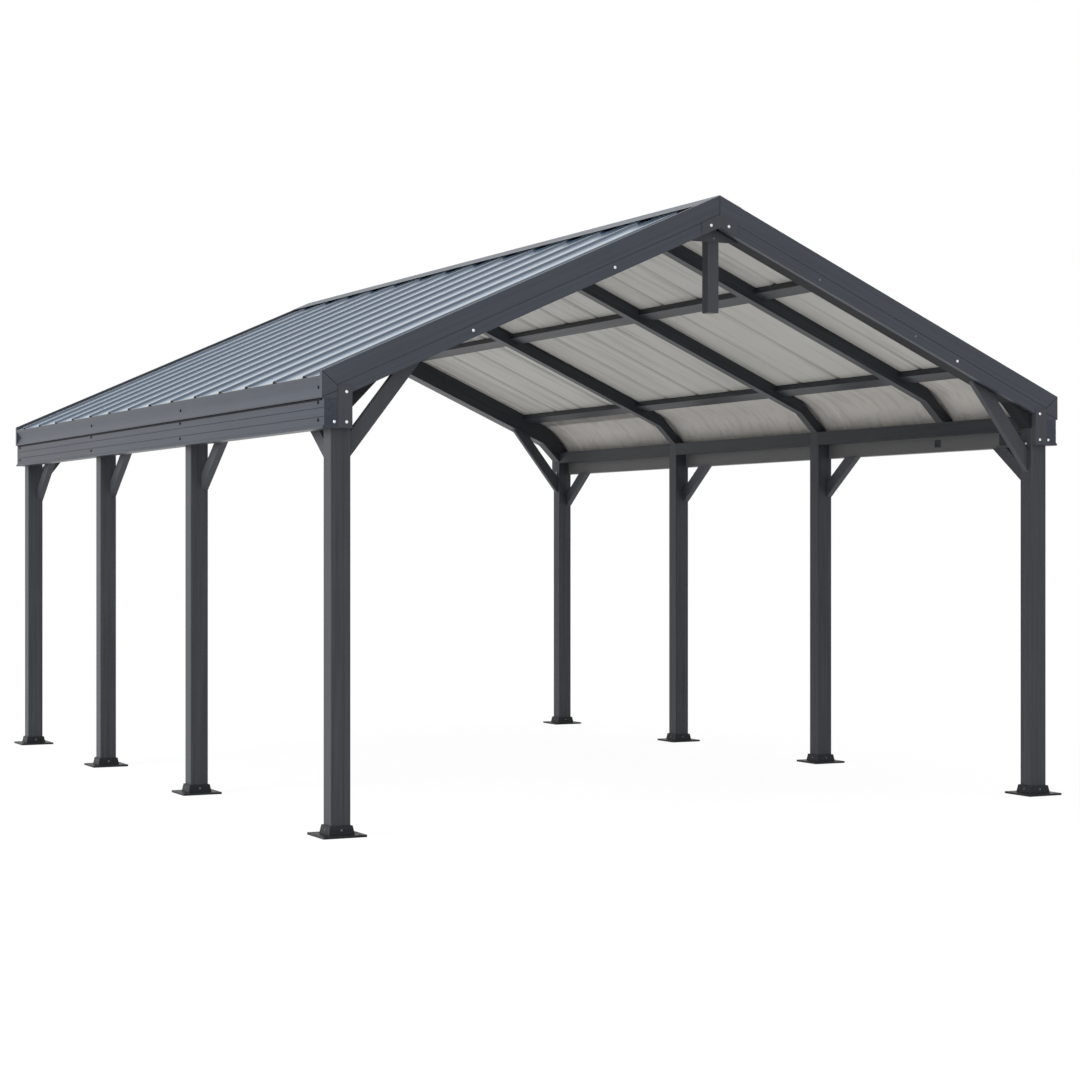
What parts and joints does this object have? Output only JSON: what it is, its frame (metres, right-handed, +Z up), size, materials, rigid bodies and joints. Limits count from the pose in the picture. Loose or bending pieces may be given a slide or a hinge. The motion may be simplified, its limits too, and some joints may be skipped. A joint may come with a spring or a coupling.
{
  "type": "carport",
  "caption": "Open gable-roofed carport: square posts on bolted feet, braced eave beams, bent rafters and a ribbed metal roof with curved linings at the eaves.",
  "frame": {"origin": "on the ground under the middle of the carport, at the centre of the bottom of the bounding box", "axes": "+X across to the right as seen from the front, +Y back along the carport, +Z up; the front gable faces -Y"},
  "size_m": [4.575, 6.257, 3.3336],
  "materials": {
    "frame_paint": "satin charcoal powder coat",
    "foot_paint": "satin charcoal powder coat",
    "roof_paint": "glossy charcoal coil coat above, pale warm grey below",
    "cap_paint": "matt blue-grey coil coat",
    "lining_paint": "matt warm grey coil coat"
  },
  "bodies": {
    "root": {"left_post_1": "frame_paint", "left_post_2": "frame_paint", "left_post_3": "frame_paint", "left_post_4": "frame_paint", "right_post_1": "frame_paint", "right_post_2": "frame_paint", "right_post_3": "frame_paint", "right_post_4": "frame_paint", "left_post_feet": "foot_paint", "right_post_feet": "foot_paint", "left_eave_beam": "frame_paint", "right_eave_beam": "frame_paint", "left_eave_fascia": "frame_paint", "right_eave_fascia": "frame_paint", "front_left_rake": "frame_paint", "front_right_rake": "frame_paint", "back_left_rake": "frame_paint", "back_right_rake": "frame_paint", "front_left_gable_rafter": "frame_paint", "front_right_gable_rafter": "frame_paint", "back_left_gable_rafter": "frame_paint", "back_right_gable_rafter": "frame_paint", "left_inner_rafters": "frame_paint", "right_inner_rafters": "frame_paint", "left_upper_purlin": "frame_paint", "right_upper_purlin": "frame_paint", "left_lower_purlin": "frame_paint", "right_lower_purlin": "frame_paint", "left_eave_purlin": "frame_paint", "right_eave_purlin": "frame_paint", "left_side_braces": "frame_paint", "right_side_braces": "frame_paint", "front_gable_braces": "frame_paint", "back_gable_braces": "frame_paint", "front_corner_plates": "frame_paint", "back_corner_plates": "frame_paint", "ridge_beam": "frame_paint", "king_posts": "frame_paint", "king_gussets": "frame_paint", "apex_plates": "frame_paint", "ridge_cap": "cap_paint", "left_roof_sheet": "roof_paint", "right_roof_sheet": "roof_paint", "left_eave_lining": "lining_paint", "right_eave_lining": "lining_paint"}
  },
  "joints": []
}
